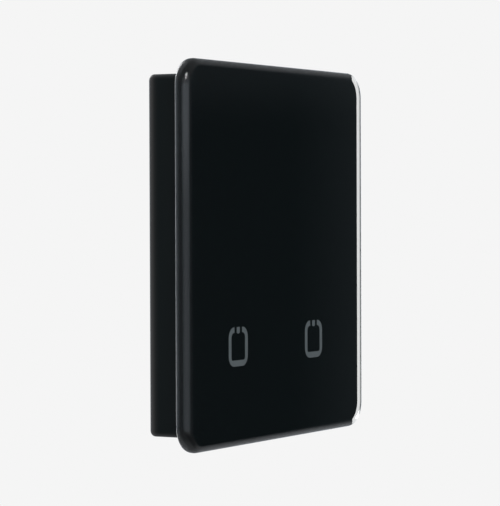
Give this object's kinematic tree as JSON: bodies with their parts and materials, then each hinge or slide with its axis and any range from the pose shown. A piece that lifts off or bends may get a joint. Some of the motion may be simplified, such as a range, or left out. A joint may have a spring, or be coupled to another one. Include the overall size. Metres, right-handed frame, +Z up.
{
  "type": "wireless light switch",
  "caption": "Slim wireless wall switch: square black glass touch plate with power marks, on a shallow housing that pulls off a magnetic wall plate and holds a coin cell tray.",
  "frame": {"origin": "middle of the wall plate's back face, which lies on the wall", "axes": "+Y into the wall, so the glass faces -Y; +X to the right seen from the front; +Z up"},
  "size_m": [0.086, 0.0124, 0.086],
  "materials": {
    "clear_glass": "polished float glass with rounded edges",
    "black_print": "black ceramic print behind the glass",
    "grey_print": "grey translucent print",
    "bonding_tape": "black foam tape",
    "carrier_plastic": "moulded black plastic",
    "shield_rubber": "moulded black rubber",
    "housing_plastic": "moulded black plastic, fine spark texture",
    "wall_plate_plastic": "moulded black plastic",
    "pad_foam": "foam pad with a release liner",
    "disc_steel": "zinc plated steel",
    "magnet_nickel": "bright nickel plate",
    "board_laminate": "green solder mask",
    "screw_steel": "zinc plated steel",
    "spring_steel": "nickel plated spring wire",
    "lamp_resin": "white case with a clear lens",
    "chip_resin": "moulded resin with tinned leads",
    "radio_laminate": "blue solder mask",
    "shield_tinplate": "pressed tinplate",
    "trace_gold": "gold plated copper",
    "crystal_metal": "metal lid on a ceramic case",
    "capacitor_ceramic": "ceramic with tinned ends",
    "resistor_film": "black film with tinned ends",
    "switch_plastic": "moulded plastic",
    "plunger_plastic": "moulded plastic",
    "button_plastic": "moulded dark grey plastic",
    "contact_nickel": "nickel plated spring steel",
    "tray_plastic": "moulded black plastic",
    "cell_steel": "bright stainless can"
  },
  "bodies": {
    "wall_mount": {"wall_plate": "wall_plate_plastic", "adhesive_pads": "pad_foam", "keeper_discs": "disc_steel"},
    "switch_body": {"housing": "housing_plastic", "magnets": "magnet_nickel", "circuit_board": "board_laminate", "board_screws": "screw_steel", "left_touch_spring": "spring_steel", "right_touch_spring": "spring_steel", "key_leds": "lamp_resin", "touch_chip": "chip_resin", "radio_board": "radio_laminate", "radio_shield": "shield_tinplate", "radio_antenna": "trace_gold", "crystal": "crystal_metal", "board_capacitors": "capacitor_ceramic", "board_resistors": "resistor_film", "pair_switch": "switch_plastic", "positive_contact": "contact_nickel", "negative_contact": "contact_nickel"},
    "glass_front": {"glass_panel": "clear_glass", "printed_film": "black_print", "left_power_mark": "grey_print", "right_power_mark": "grey_print", "panel_tape": "bonding_tape", "carrier_frame": "carrier_plastic", "carrier_posts": "carrier_plastic", "light_shields": "shield_rubber"},
    "battery_drawer": {"battery_tray": "tray_plastic", "coin_cell": "cell_steel"},
    "pair_key": {"pair_button": "button_plastic", "switch_plunger": "plunger_plastic"}
  },
  "joints": [
    {"name": "switch_pull", "type": "slide", "parent": "wall_mount", "child": "switch_body", "axis": [0, -1, 0], "range_m": [0, 0.014]},
    {"name": "panel_pull", "type": "slide", "parent": "switch_body", "child": "glass_front", "axis": [0, -1, 0], "range_m": [0, 0.02]},
    {"name": "drawer_slide", "type": "slide", "parent": "switch_body", "child": "battery_drawer", "axis": [0, 0, -1], "range_m": [0, 0.026]},
    {"name": "button_press", "type": "slide", "parent": "switch_body", "child": "pair_key", "axis": [0, 0, 1], "range_m": [0, 0.00025], "stiffness_N_per_m": 1000}
  ]
}
